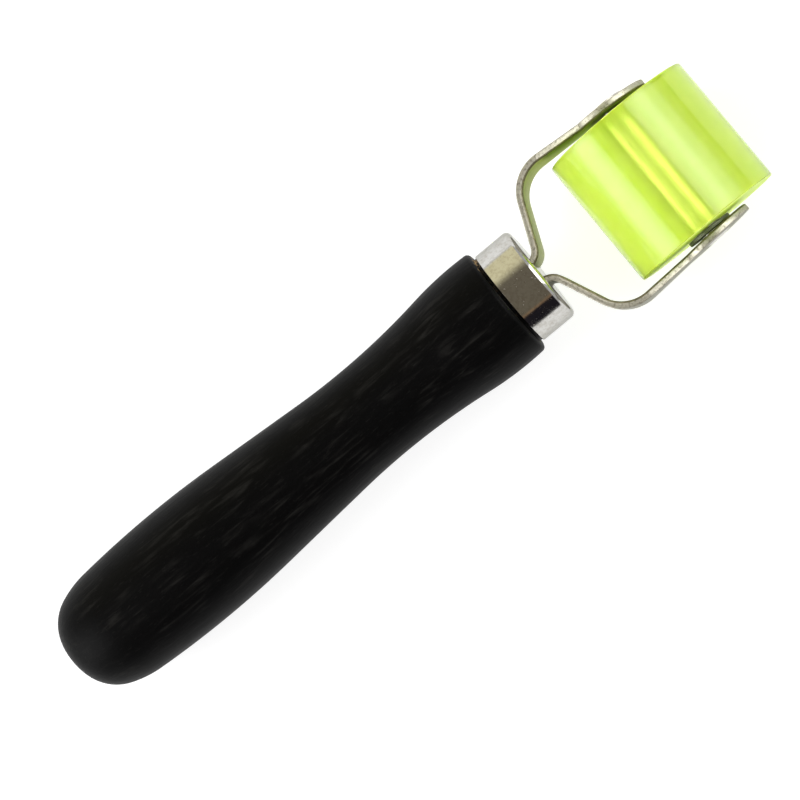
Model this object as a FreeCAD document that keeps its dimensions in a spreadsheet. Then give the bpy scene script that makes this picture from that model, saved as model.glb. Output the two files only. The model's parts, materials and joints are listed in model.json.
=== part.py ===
import FreeCAD, Part

import math
import os

import Sketcher
from FreeCAD import Placement, Rotation, Vector

# A seam roller for roofing membrane: a turned hardwood handle, a drawn steel ferrule, two bent
# strip-steel fork arms and a polyurethane roller that turns freely on a headed rivet.
#
# Sub-parts are drawn in the tool's own frame: the origin is the centre of the handle's front
# shoulder, X runs forward along the handle to the roller, Y runs along the roller's axle and
# Z is up. rest_placement then lays the whole tool down, so that the roller and the handle's
# belly both touch the ground plane. Millimetres and degrees.

DIMENSIONS = {
    # handle, stations counted along X from the front shoulder
    "handle_length": 127.0,
    "butt_curve": 18.1,
    "corner_curve": 10.7,
    "cheek_curve": 25.0,
    "cheek_station": -112.7,
    "belly_station": -93.3,
    "belly_radius": 14.48,
    "belly_curve": 248.0,
    "waist_station": -38.4,
    "waist_radius": 11.54,
    "waist_curve": 170.0,
    "flare_station": -5.1,
    "flare_radius": 13.78,
    "shoulder_round": 1.1,
    "shoulder_face": 0.22,
    "neck_radius": 11.55,
    "neck_length": 0.9,
    "tenon_bevel": 0.8,
    "tenon_gap": 0.3,
    # ferrule
    "ferrule_radius": 12.0,
    "ferrule_wall": 0.8,
    "ferrule_front": 10.2,
    "ferrule_round": 1.4,
    "slot_clearance": 0.15,
    # fork arms, bent from strip
    "strip_width": 19.05,
    "strip_thickness": 1.6,
    "strip_gap": 3.1,
    "tang_depth": 24.0,
    "tang_width": 13.0,
    "tang_shoulder": 8.6,
    "tang_bevel": 3.25,
    "small_bend": 3.5,
    "large_bend": 9.0,
    "slant_angle": 66.7,
    "slant_station": 11.72,
    "toe_angle": 3.1,
    "fork_inside": 34.9,
    "taper_station": 25.4,
    "throat_width": 12.0,
    "ear_radius": 9.65,
    "seat_radius": 4.6,
    "seat_depth": 0.04,
    "strip_overrun": 2.0,
    "trim_margin": 6.0,
    # pin through the tenon and the tangs
    "pin_radius": 1.5,
    "pin_station": 4.2,
    "pin_length": 21.6,
    # axle rivet
    "axle_station": 44.4,
    "axle_radius": 2.38,
    "head_radius": 4.35,
    "head_height": 1.0,
    "peen_radius": 4.0,
    "peen_height": 0.65,
    # roller
    "roller_radius": 18.25,
    "roller_width": 31.75,
    "roller_edge": 0.3,
    "sleeve_radius": 3.175,
    "sleeve_length": 32.05,
    "bore_clearance": 0.05,
    # washers
    "washer_radius": 5.5,
    "washer_thickness": 0.9,
    "washer_play": 0.12,
}


class Size:
    """A dimension: its value, and the expression on the sheet that gives it."""

    def __init__(self, value, text):
        self.value = float(value)
        self.text = text

    def __add__(self, other):
        other = as_size(other)
        return Size(self.value + other.value, f"({self.text} + {other.text})")

    def __sub__(self, other):
        other = as_size(other)
        return Size(self.value - other.value, f"({self.text} - {other.text})")

    def __mul__(self, other):
        other = as_size(other)
        return Size(self.value * other.value, f"({self.text} * {other.text})")

    def __truediv__(self, other):
        other = as_size(other)
        return Size(self.value / other.value, f"({self.text} / {other.text})")

    def __neg__(self):
        return Size(-self.value, f"(0 - {self.text})")


def as_size(number):
    """A plain number as a Size."""
    return number if isinstance(number, Size) else Size(number, f"{number}")


def tangent(angle):
    """The tangent of an angle in degrees."""
    return Size(math.tan(math.radians(angle.value)), f"tan({angle.text} * 1 deg)")


def cosine(angle):
    """The cosine of an angle in degrees."""
    return Size(math.cos(math.radians(angle.value)), f"cos({angle.text} * 1 deg)")


def sine(angle):
    """The sine of an angle in degrees."""
    return Size(math.sin(math.radians(angle.value)), f"sin({angle.text} * 1 deg)")


def leg(hypotenuse, other):
    """The second leg of a right triangle."""
    square = hypotenuse * hypotenuse - other * other
    return Size(math.sqrt(square.value), f"sqrt({square.text})")


class Sizes:
    """The driving dimensions on a sheet, each read as an attribute."""

    def __init__(self, doc, values):
        sheet = doc.addObject("Spreadsheet::Sheet", "sizes")
        for row, (alias, value) in enumerate(values.items(), start=1):
            sheet.set(f"A{row}", alias)
            sheet.set(f"B{row}", str(value))
            sheet.setAlias(f"B{row}", alias)
            setattr(self, alias, Size(value, f"sizes.{alias}"))
        doc.recompute()


class Drawing:
    """A sketch on one of its body's origin planes, whose points and radii follow the sheet."""

    def __init__(self, body, name, plane, offset=None):
        self.sketch = body.newObject("Sketcher::SketchObject", name)
        role = {"XY": "XY_Plane", "XZ": "XZ_Plane", "YZ": "YZ_Plane"}[plane]
        support = next(f for f in body.Origin.OriginFeatures if f.Role == role)
        self.sketch.AttachmentSupport = [(support, "")]
        self.sketch.MapMode = "FlatFace"
        if offset is not None:
            self.sketch.AttachmentOffset = Placement(Vector(0, 0, offset.value), Rotation())
            self.sketch.setExpression(".AttachmentOffset.Base.z", offset.text)

    def hold(self, kind, *places, size):
        """Adds a constraint whose value follows the sheet."""
        number = self.sketch.addConstraint(Sketcher.Constraint(kind, *places, size.value))
        self.sketch.setExpression(f"Constraints[{number}]", size.text)

    def fix_point(self, edge, vertex, x=None, y=None):
        """Holds one vertex at x, y; a number 0 puts it on the axis, and None leaves it free."""
        for size, kind, axis in ((x, "DistanceX", -2), (y, "DistanceY", -1)):
            if isinstance(size, Size):
                self.hold(kind, -1, 1, edge, vertex, size=size)
            elif size is not None:
                on_axis = Sketcher.Constraint("PointOnObject", edge, vertex, axis)
                self.sketch.addConstraint(on_axis)

    def join(self, edge, vertex, other, other_vertex, kind="Coincident"):
        """Joins two vertices, as a corner or as a tangent run."""
        self.sketch.addConstraint(Sketcher.Constraint(kind, edge, vertex, other, other_vertex))

    def line(self, start, end):
        """A line between two points of Sizes or numbers, not yet held."""
        return self.sketch.addGeometry(Part.LineSegment(flat(start), flat(end)), False)

    def arc(self, centre, radius, start, end):
        """An anticlockwise arc from start to end, of a radius that follows the sheet."""
        middle = flat(centre)
        turns = [math.atan2(*reversed(tuple(flat(p) - middle)[:2])) for p in (start, end)]
        circle = Part.Circle(middle, Vector(0, 0, 1), as_size(radius).value)
        edge = self.sketch.addGeometry(Part.ArcOfCircle(circle, *turns), False)
        if isinstance(radius, Size):
            self.hold("Radius", edge, size=radius)
        return edge

    def circle(self, x, y, radius):
        """A full circle held at x, y."""
        round_edge = Part.Circle(flat((x, y)), Vector(0, 0, 1), radius.value)
        edge = self.sketch.addGeometry(round_edge, False)
        self.hold("Radius", edge, size=radius)
        self.fix_point(edge, 3, x, y)
        return edge

    def polygon(self, points):
        """A closed run of lines through held points."""
        edges = [self.line(p, q) for p, q in zip(points, points[1:] + points[:1])]
        for edge, following in zip(edges, edges[1:] + edges[:1]):
            self.join(edge, 2, following, 1)
        for edge, (x, y) in zip(edges, points):
            self.fix_point(edge, 1, x, y)
        return edges

    def rectangle(self, x, y, half_width, half_height):
        """A rectangle centred on x, y."""
        self.polygon([
            (x - half_width, y - half_height),
            (x + half_width, y - half_height),
            (x + half_width, y + half_height),
            (x - half_width, y + half_height),
        ])


def flat(point):
    """A point of Sizes or numbers as a vector in the sketch plane."""
    return Vector(as_size(point[0]).value, as_size(point[1]).value, 0)


def new_body(doc, name, placement):
    """An empty body, labelled with its node's name."""
    body = doc.addObject("PartDesign::Body", name)
    body.Label = name
    body.Placement = placement
    return body


def revolve(body, drawing, axis):
    """Revolves a closed outline once about H_Axis (X) or V_Axis (Y)."""
    feature = body.newObject("PartDesign::Revolution", f"{body.Name}_turned")
    feature.Profile = drawing.sketch
    feature.ReferenceAxis = (drawing.sketch, [axis])
    feature.Angle = 360
    drawing.sketch.Document.recompute()
    return feature


def extrude(body, kind, drawing, length=None, symmetric=False, backwards=False):
    """Pads or pockets a closed outline; a pocket with no length goes through everything."""
    feature = body.newObject(f"PartDesign::{kind}", f"{drawing.sketch.Name}_{kind.lower()}")
    feature.Profile = drawing.sketch
    feature.Reversed = backwards
    feature.SideType = "Symmetric" if symmetric else "One side"
    if length is None:
        feature.Type = "ThroughAll"
    else:
        feature.Length = length.value
        feature.setExpression("Length", length.text)
    before = body.Shape.Volume if kind == "Pocket" else 0.0
    drawing.sketch.Document.recompute()
    if kind == "Pocket" and not feature.Shape.Volume < before - 1e-6:
        raise RuntimeError(f"{feature.Name} cut nothing")
    return feature


def circle_tangent_inside(left, right, radius):
    """The centre, nearer -X, of a circle that touches two larger circles from inside."""
    (c1, r1), (c2, r2) = left, right
    near, far, apart = r1 - radius, r2 - radius, c1.distanceToPoint(c2)
    along = (near**2 - far**2 + apart**2) / (2 * apart)
    across = math.sqrt(near**2 - along**2)
    ahead = (c2 - c1).normalize()
    side = Vector(-ahead.y, ahead.x, 0)
    return min((c1 + ahead * along + side * s * across for s in (1, -1)), key=lambda c: c.x)


def make_handle(doc, d, placement):
    """The turned hardwood handle, with its tenon, the slots for the tangs and the pin hole."""
    body = new_body(doc, "handle", placement)
    outline = Drawing(body, "handle_outline", "XY")

    # Arc centres and joints, worked out once to start the sketch from; its constraints then
    # hold the radii and stations, and tangency places the rest.
    butt = flat((-d.handle_length + d.butt_curve, 0))
    belly = flat((d.belly_station, d.belly_radius - d.belly_curve))
    waist = flat((d.waist_station, d.waist_radius + d.waist_curve))
    reach = d.cheek_station.value - belly.x
    cheek_end = belly + Vector(reach, math.sqrt(d.belly_curve.value**2 - reach**2), 0)
    cheek = cheek_end + (belly - cheek_end).normalize() * d.cheek_curve.value
    corner = circle_tangent_inside(
        (butt, d.butt_curve.value), (cheek, d.cheek_curve.value), d.corner_curve.value
    )
    corner_start = butt + (corner - butt).normalize() * d.butt_curve.value
    corner_end = cheek + (corner - cheek).normalize() * d.cheek_curve.value

    apart = waist - belly
    lean = math.acos((d.belly_curve.value + d.waist_curve.value) / apart.Length)
    aim = math.atan2(apart.y, apart.x) + lean
    outward = Vector(math.cos(aim), math.sin(aim), 0)
    belly_end = belly + outward * d.belly_curve.value
    waist_start = waist - outward * d.waist_curve.value

    run = d.flare_station - d.waist_station
    drop = d.waist_radius + d.waist_curve - d.flare_radius
    flare_curve = (run * run + drop * drop - d.waist_curve * d.waist_curve) / (
        (d.waist_curve - drop) * 2
    )
    flare = flat((d.flare_station, d.flare_radius - flare_curve))
    waist_end = waist + (flare - waist).normalize() * d.waist_curve.value

    face = d.shoulder_face
    edge_x = face - d.shoulder_round
    edge_y = math.sqrt(flare_curve.value**2 - (edge_x.value - flare.x) ** 2) + flare.y
    edge_centre = Vector(edge_x.value, edge_y - d.shoulder_round.value, 0)
    edge_start = edge_centre + Vector(0, d.shoulder_round.value, 0)
    edge_end = edge_centre + Vector(d.shoulder_round.value, 0, 0)

    tip = flat((-d.handle_length, 0))
    arcs = [
        outline.arc(butt, d.butt_curve, corner_start, tip),
        outline.arc(corner, d.corner_curve, corner_end, corner_start),
        outline.arc(cheek, d.cheek_curve, cheek_end, corner_end),
        outline.arc(belly, d.belly_curve, belly_end, cheek_end),
    ]
    for edge, following in zip(arcs, arcs[1:]):
        outline.join(edge, 1, following, 2, "Tangent")
    outline.fix_point(arcs[0], 2, -d.handle_length, 0)
    outline.fix_point(arcs[0], 3, None, 0)
    outline.fix_point(arcs[2], 1, d.cheek_station, None)
    outline.fix_point(arcs[3], 3, d.belly_station, d.belly_radius - d.belly_curve)

    slope = outline.line(belly_end, waist_start)
    hollow = outline.arc(waist, d.waist_curve, waist_start, waist_end)
    swell = outline.arc(flare, flare_curve, edge_start, waist_end)
    rounding = outline.arc(edge_centre, d.shoulder_round, edge_end, edge_start)
    outline.join(arcs[3], 1, slope, 1, "Tangent")
    outline.join(slope, 2, hollow, 1, "Tangent")
    outline.join(hollow, 2, swell, 2, "Tangent")
    outline.join(swell, 1, rounding, 2, "Tangent")
    outline.fix_point(hollow, 3, d.waist_station, d.waist_radius + d.waist_curve)
    outline.fix_point(swell, 3, d.flare_station, None)
    outline.fix_point(rounding, 3, edge_x, None)

    tenon_end = d.tang_shoulder - d.tenon_gap
    tenon_radius = d.ferrule_radius - d.ferrule_wall
    bevel = d.tenon_bevel
    corners = [
        (face, d.neck_radius),
        (d.neck_length, d.neck_radius),
        (d.neck_length, tenon_radius),
        (tenon_end - bevel, tenon_radius),
        (tenon_end, tenon_radius - bevel),
        (tenon_end, 0),
        (-d.handle_length, 0),
    ]
    run_of_lines = [outline.line(edge_end, corners[0])]
    run_of_lines += [outline.line(p, q) for p, q in zip(corners, corners[1:])]
    outline.join(rounding, 1, run_of_lines[0], 1, "Tangent")
    for edge, following in zip(run_of_lines, run_of_lines[1:]):
        outline.join(edge, 2, following, 1)
    for edge, (x, y) in zip(run_of_lines, corners[:-1]):
        outline.fix_point(edge, 2, x, y)
    outline.join(run_of_lines[-1], 2, arcs[0], 2)
    revolve(body, outline, "H_Axis")

    slots = Drawing(body, "tang_slots", "YZ", offset=tenon_end)
    for side in (1, -1):
        slots.rectangle(tang_centre(d) * side, as_size(0), d.strip_thickness / 2, d.tang_width / 2)
    extrude(body, "Pocket", slots, tenon_end + d.tang_depth)

    hole = Drawing(body, "pin_hole", "XZ")
    hole.circle(d.pin_station, 0, d.pin_radius)
    extrude(body, "Pocket", hole, symmetric=True)
    return body


def make_ferrule(doc, d, placement):
    """The drawn cap over the tenon, closed in front but for the slots that the arms leave by."""
    body = new_body(doc, "ferrule", placement)
    inside = d.ferrule_radius - d.ferrule_wall
    floor = d.ferrule_front - d.ferrule_wall
    section = Drawing(body, "ferrule_section", "XY")
    round_x = d.ferrule_front - d.ferrule_round
    round_y = d.ferrule_radius - d.ferrule_round
    points = [
        (d.ferrule_front, round_y),
        (d.ferrule_front, 0),
        (floor, 0),
        (floor, inside),
        (d.neck_length, inside),
        (d.neck_length, d.ferrule_radius),
        (round_x, d.ferrule_radius),
    ]
    edges = [section.line(p, q) for p, q in zip(points, points[1:])]
    for edge, following in zip(edges, edges[1:]):
        section.join(edge, 2, following, 1)
    for edge, (x, y) in zip(edges, points):
        section.fix_point(edge, 1, x, y)
    section.fix_point(edges[-1], 2, *points[-1])
    nose = section.arc((round_x, round_y), d.ferrule_round, points[0], points[-1])
    section.join(nose, 1, edges[0], 1)
    section.join(nose, 2, edges[-1], 2)
    revolve(body, section, "H_Axis")

    slots = Drawing(body, "arm_slots", "YZ", offset=d.ferrule_front)
    half_height = d.strip_width / 2 + d.slot_clearance
    half_width = d.strip_thickness / 2 + d.slot_clearance
    for side in (1, -1):
        slots.rectangle(tang_centre(d) * side, as_size(0), half_width, half_height)
    extrude(body, "Pocket", slots)
    return body


def tang_centre(d):
    """How far a tang's mid-thickness lies from the tool's axis."""
    return (d.strip_gap + d.strip_thickness) / 2


def arm_corners(d):
    """Where the arm's centreline would turn if its two bends were sharp, and where it ends."""
    axle_y = d.fork_inside / 2 + d.strip_thickness / cosine(d.toe_angle) / 2
    rise, fall = tangent(d.slant_angle), tangent(d.toe_angle)
    low = (d.slant_station, tang_centre(d))
    level = axle_y - tang_centre(d) + d.axle_station * fall + d.slant_station * rise
    high_x = level / (rise + fall)
    high = (high_x, low[1] + (high_x - d.slant_station) * rise)
    end_x = d.axle_station + d.ear_radius + d.strip_overrun
    end = (end_x, axle_y - (end_x - d.axle_station) * fall)
    return low, high, end, axle_y


def make_arm(doc, d, placement, name, side):
    """One fork arm: strip bent out and forward from its tang, and trimmed to a round ear."""
    body = new_body(doc, name, placement)
    low, high, end, axle_y = arm_corners(d)
    toe_in, slant = d.toe_angle, d.slant_angle

    # the bent centreline, with each bend's arc between its two tangent points
    path = Drawing(body, f"{name}_path", "XY")
    low_cut = d.small_bend * tangent(slant / 2)
    high_cut = d.large_bend * tangent((slant + toe_in) / 2)
    p0 = (-d.tang_depth, low[1] * side)
    p1 = (low[0] - low_cut, low[1] * side)
    p2 = (low[0] + low_cut * cosine(slant), (low[1] + low_cut * sine(slant)) * side)
    p3 = (high[0] - high_cut * cosine(slant), (high[1] - high_cut * sine(slant)) * side)
    p4 = (high[0] + high_cut * cosine(toe_in), (high[1] - high_cut * sine(toe_in)) * side)
    p5 = (end[0], end[1] * side)
    first_centre = (p1[0], p1[1] + d.small_bend * side)
    second_centre = (
        p4[0] - d.large_bend * sine(toe_in),
        p4[1] - d.large_bend * cosine(toe_in) * side,
    )
    tang, riser, cheek = path.line(p0, p1), path.line(p2, p3), path.line(p4, p5)
    for edge, ends in ((tang, (p0, p1)), (riser, (p2, p3)), (cheek, (p4, p5))):
        for vertex, (x, y) in enumerate(ends, start=1):
            path.fix_point(edge, vertex, x, y)
    if side > 0:
        low_arc = path.arc(first_centre, d.small_bend, p1, p2)
        high_arc = path.arc(second_centre, d.large_bend, p4, p3)
        joints = ((low_arc, 1, tang, 2), (low_arc, 2, riser, 1),
                  (high_arc, 2, riser, 2), (high_arc, 1, cheek, 1))
    else:
        low_arc = path.arc(first_centre, d.small_bend, p2, p1)
        high_arc = path.arc(second_centre, d.large_bend, p3, p4)
        joints = ((low_arc, 2, tang, 2), (low_arc, 1, riser, 1),
                  (high_arc, 1, riser, 2), (high_arc, 2, cheek, 1))
    for joint in joints:
        path.join(*joint)

    section = Drawing(body, f"{name}_section", "YZ", offset=-d.tang_depth)
    half_width, half_thickness = d.strip_width / 2, d.strip_thickness / 2
    section.rectangle(low[1] * side, as_size(0), half_thickness, half_width)
    strip = body.newObject("PartDesign::AdditivePipe", f"{name}_strip")
    strip.Profile = section.sketch
    strip.Spine = path.sketch
    doc.recompute()

    trim_arm(body, d, name)

    holes = Drawing(body, f"{name}_holes", "XZ")
    holes.circle(d.axle_station, 0, d.axle_radius)
    holes.circle(d.pin_station, 0, d.pin_radius)
    extrude(body, "Pocket", holes, symmetric=True)

    # the rivet's setting flattens a round seat on the ear's sloping outer face
    seat = Drawing(body, f"{name}_seat", "XZ", offset=seat_height(d) * -side)
    seat.circle(d.axle_station, 0, d.seat_radius)
    extrude(body, "Pocket", seat, d.strip_thickness, backwards=side < 0)
    return body


def seat_height(d):
    """How far the rivet's seat, sunk a little all round, lies from the tool's axis."""
    outer_face = arm_corners(d)[3] + d.strip_thickness / cosine(d.toe_angle) / 2
    return outer_face - d.seat_radius * tangent(d.toe_angle) - d.seat_depth


def trim_arm(body, d, name):
    """Cuts the strip to its side outline: narrow tang, full width, taper, throat, round ear."""
    trim = Drawing(body, f"{name}_outline", "XZ")
    half = d.strip_width / 2
    throat = d.throat_width / 2
    throat_x = d.axle_station - leg(d.ear_radius, throat)
    tang, shoulder = d.tang_width / 2, d.tang_shoulder
    tip = -d.tang_depth + d.tang_bevel
    upper = [
        (-d.tang_depth, tang - d.tang_bevel),
        (tip, tang),
        (shoulder, tang),
        (shoulder, half),
        (d.taper_station, half),
        (throat_x, throat),
    ]
    lower = [(x, -y) for x, y in reversed(upper)]
    points = lower + upper
    edges = [trim.line(p, q) for p, q in zip(points, points[1:])]
    for edge, following in zip(edges, edges[1:]):
        trim.join(edge, 2, following, 1)
    for edge, (x, y) in zip(edges, points):
        trim.fix_point(edge, 1, x, y)
    trim.fix_point(edges[-1], 2, *points[-1])
    ear = trim.arc((d.axle_station, 0), d.ear_radius, points[0], points[-1])
    trim.join(ear, 1, edges[0], 1)
    trim.join(ear, 2, edges[-1], 2)

    back, front = -d.tang_depth - d.trim_margin, d.axle_station + d.ear_radius + d.trim_margin
    trim.rectangle((back + front) / 2, as_size(0), (front - back) / 2, half + d.trim_margin)
    extrude(body, "Pocket", trim, symmetric=True)


def make_tang_pin(doc, d, placement):
    """The plain pin through the tenon and both tangs, under the ferrule's skirt."""
    pin = doc.addObject("Part::Cylinder", "tang_pin")
    pin.Label = "tang_pin"
    pin.setExpression("Radius", d.pin_radius.text)
    pin.setExpression("Height", d.pin_length.text)
    across = Placement(
        Vector(d.pin_station.value, d.pin_length.value / 2, 0), Rotation(Vector(1, 0, 0), 90)
    )
    pin.Placement = placement * across
    return pin


def make_rivet(doc, d, placement):
    """The axle rivet: a flat head on the left ear and a low peened dome on the right one."""
    body = new_body(doc, "axle_rivet", placement)
    seat = seat_height(d)
    top, bottom = seat + d.head_height, -seat - d.peen_height
    dome = (d.peen_radius * d.peen_radius + d.peen_height * d.peen_height) / (d.peen_height * 2)
    section = Drawing(body, "rivet_section", "XY")
    points = [
        (d.peen_radius, -seat),
        (d.axle_radius, -seat),
        (d.axle_radius, seat),
        (d.head_radius, seat),
        (d.head_radius, top),
        (0, top),
        (0, bottom),
    ]
    edges = [section.line(p, q) for p, q in zip(points, points[1:])]
    for edge, following in zip(edges, edges[1:]):
        section.join(edge, 2, following, 1)
    for edge, (x, y) in zip(edges, points):
        section.fix_point(edge, 1, x, y)
    section.fix_point(edges[-1], 2, *points[-1])
    cap = section.arc((0, bottom + dome), dome, points[-1], points[0])
    section.join(cap, 1, edges[-1], 2)
    section.join(cap, 2, edges[0], 1)
    revolve(body, section, "V_Axis")
    return body


def make_washer(doc, d, placement, name, side):
    """A plain washer between the roller's end and an ear."""
    body = new_body(doc, name, placement)
    inner = d.sleeve_length / 2 + d.washer_play
    ring = Drawing(body, f"{name}_ring", "XZ", offset=inner * -side)
    ring.circle(0, 0, d.washer_radius)
    ring.circle(0, 0, d.axle_radius + d.bore_clearance)
    extrude(body, "Pad", ring, d.washer_thickness, backwards=side > 0)
    return body


def make_tube(doc, placement, name, outer, inner, length):
    """A tube about the axle, centred between the ears."""
    body = new_body(doc, name, placement)
    ring = Drawing(body, f"{name}_ring", "XZ")
    ring.circle(0, 0, outer)
    ring.circle(0, 0, inner)
    extrude(body, "Pad", ring, length, symmetric=True)
    return body


def make_roller(doc, d, placement):
    """The polyurethane tyre with crisp tread edges, and the steel sleeve moulded into it."""
    tyre = make_tube(doc, placement, "roller_tyre", d.roller_radius, d.sleeve_radius, d.roller_width)
    base = tyre.Tip
    rims = [
        f"Edge{number}" for number, edge in enumerate(base.Shape.Edges, start=1)
        if hasattr(edge.Curve, "Radius")
        and abs(edge.Curve.Radius - d.roller_radius.value) < 1e-6
    ]
    rounding = tyre.newObject("PartDesign::Fillet", "tread_edges")
    rounding.Base = (base, rims)
    rounding.Radius = d.roller_edge.value
    rounding.setExpression("Radius", d.roller_edge.text)
    doc.recompute()
    bore = d.axle_radius + d.bore_clearance
    sleeve = make_tube(doc, placement, "roller_sleeve", d.sleeve_radius, bore, d.sleeve_length)
    return [tyre, sleeve]


def rest_placement(d):
    """Lays the tool down on its roller and its handle's belly, centred over the origin."""
    along = (d.axle_station - d.belly_station).value
    down = (d.belly_curve - d.belly_radius).value
    lift = (d.roller_radius - d.belly_curve).value
    nose_up = math.atan2(down, along) + math.asin(lift / math.hypot(along, down))
    turn = Rotation(Vector(0, 1, 0), -math.degrees(nose_up))
    axle = turn.multVec(Vector(d.axle_station.value, 0, 0))
    butt = turn.multVec(flat((-d.handle_length + d.butt_curve, 0)))
    front, back = axle.x + d.roller_radius.value, butt.x - d.butt_curve.value
    return Placement(Vector(-(front + back) / 2, 0, d.roller_radius.value - axle.z), turn)


def check(doc, parts):
    """Stops if any object failed or any sub-part isn't a valid solid."""
    for thing in doc.Objects:
        if {"Invalid", "Error"} & set(thing.State):
            raise RuntimeError(f"{thing.Label} failed: {thing.State}")
    for part in parts:
        if part.Shape.isNull() or not part.Shape.isValid() or len(part.Shape.Solids) != 1:
            raise RuntimeError(f"{part.Label} isn't one valid solid")


def main():
    doc = FreeCAD.newDocument("seam_roller")
    d = Sizes(doc, DIMENSIONS)
    rest = rest_placement(d)
    axle = rest * Placement(Vector(d.axle_station.value, 0, 0), Rotation())
    parts = [
        make_handle(doc, d, rest),
        make_ferrule(doc, d, rest),
        make_arm(doc, d, rest, "fork_arm_left", 1),
        make_arm(doc, d, rest, "fork_arm_right", -1),
        make_tang_pin(doc, d, rest),
        make_rivet(doc, d, axle),
        make_washer(doc, d, axle, "washer_left", 1),
        make_washer(doc, d, axle, "washer_right", -1),
    ]
    parts += make_roller(doc, d, axle)
    doc.recompute()
    check(doc, parts)

    os.makedirs("parts", exist_ok=True)
    for part in parts:
        part.Shape.exportStep(os.path.join("parts", f"{part.Label}.step"))
        box = part.Shape.optimalBoundingBox()
        print(f"{part.Label}: {part.Shape.Volume:.1f} mm3, X {box.XMin:.2f} to {box.XMax:.2f}, "
              f"Y {box.YMin:.2f} to {box.YMax:.2f}, Z {box.ZMin:.2f} to {box.ZMax:.2f}")
    centre = axle.Base
    print(f"axle centre: {centre.x:.4f}, {centre.y:.4f}, {centre.z:.4f}")


main()
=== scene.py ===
"""Looks of the seam roller: turned handle, drawn ferrule, bent strip fork and lime tyre.

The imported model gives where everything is. Pieces are made in the tool's own frame, which has
its origin at the centre of the handle's front shoulder, X along the handle towards the roller
and Y along the axle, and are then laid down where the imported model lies. Metres throughout.
"""

from __future__ import annotations

import json
import logging
import math
from dataclasses import dataclass, field
from enum import Enum
from typing import Any, Sequence

import bmesh
import bpy
from mathutils import Matrix, Vector, noise


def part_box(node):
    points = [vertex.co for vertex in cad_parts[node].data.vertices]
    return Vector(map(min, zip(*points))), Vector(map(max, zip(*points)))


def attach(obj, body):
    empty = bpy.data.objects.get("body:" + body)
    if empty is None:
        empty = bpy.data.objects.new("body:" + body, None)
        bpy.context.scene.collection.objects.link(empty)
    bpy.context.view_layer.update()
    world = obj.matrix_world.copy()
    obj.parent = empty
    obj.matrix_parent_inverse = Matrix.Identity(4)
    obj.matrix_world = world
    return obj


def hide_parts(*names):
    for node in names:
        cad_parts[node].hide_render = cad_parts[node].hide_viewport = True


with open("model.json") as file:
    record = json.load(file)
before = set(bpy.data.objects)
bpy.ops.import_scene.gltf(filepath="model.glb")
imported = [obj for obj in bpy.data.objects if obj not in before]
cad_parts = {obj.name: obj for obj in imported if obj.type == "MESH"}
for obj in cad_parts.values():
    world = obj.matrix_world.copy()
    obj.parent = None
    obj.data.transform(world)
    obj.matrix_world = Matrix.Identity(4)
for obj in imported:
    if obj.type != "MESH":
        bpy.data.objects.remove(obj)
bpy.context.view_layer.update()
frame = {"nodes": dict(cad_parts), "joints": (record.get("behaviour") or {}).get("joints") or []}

LOG = logging.getLogger("seam_roller")
MM = 0.001
TINY = 0.02 * MM  # smaller than any feature of the tool
SURFACE = "ShaderNodeBsdfPrincipled"
AXLE_STATION = 44.4 * MM  # the axle's X in the tool's frame

Point = tuple[float, float]
Colour = tuple[float, ...]


class Side(Enum):
    """Which side of the tool a piece is on, as the sign of Y."""

    LEFT = 1
    RIGHT = -1


# --- placing ---


def axle_centre() -> Vector:
    """The axle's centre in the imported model, as the roller's joint gives it."""
    joint = next(j for j in frame["joints"] if j["child"] == "roller")
    return Vector(joint["pos_m"])


def rest_matrix() -> Matrix:
    """The transform from the tool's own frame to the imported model's frame.

    Returns:
        A turn about Y, read off the line from the tang pin to the axle, and a shift.
    """
    axle = axle_centre()
    low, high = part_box("tang_pin")
    forward = axle - (low + high) / 2
    turn = Matrix.Rotation(-math.atan2(forward.z, forward.x), 4, "Y")
    return Matrix.Translation(axle) @ turn @ Matrix.Translation((-AXLE_STATION, 0, 0))


REST = rest_matrix()


# --- shader building ---


@dataclass
class Wire:
    """A node's output socket that can be used in arithmetic.

    Attributes:
        shader: the material that the socket belongs to.
        socket: the output.
    """

    shader: Shader
    socket: bpy.types.NodeSocket

    def math(self, operation: str, *values: Any, clamp: bool = False) -> Wire:
        """Adds a Math node on this value.

        Args:
            operation: the Math node's operation.
            values: the node's inputs in order.
            clamp: whether the result is held between 0 and 1.

        Returns:
            The node's result.
        """
        return self.shader.node("ShaderNodeMath", dict(enumerate(values)),
                                operation=operation, use_clamp=clamp)

    def __add__(self, other: Any) -> Wire:
        """The sum."""
        return self.math("ADD", self, other)

    __radd__ = __add__

    def __sub__(self, other: Any) -> Wire:
        """The difference."""
        return self.math("SUBTRACT", self, other)

    def __rsub__(self, other: Any) -> Wire:
        """The difference, the other way round."""
        return self.math("SUBTRACT", other, self)

    def __mul__(self, other: Any) -> Wire:
        """The product."""
        return self.math("MULTIPLY", self, other)

    __rmul__ = __mul__

    def clamped(self) -> Wire:
        """This value held between 0 and 1."""
        return self.math("ADD", self, 0.0, clamp=True)

    def ramp(self, low: float, high: float) -> Wire:
        """A smooth step of this value.

        Args:
            low, high: where the step starts and ends.

        Returns:
            0 below low, 1 above high, and a smooth curve between.
        """
        values = {"Value": self, "From Min": low, "From Max": high}
        return self.shader.node("ShaderNodeMapRange", values, interpolation_type="SMOOTHSTEP")


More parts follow.
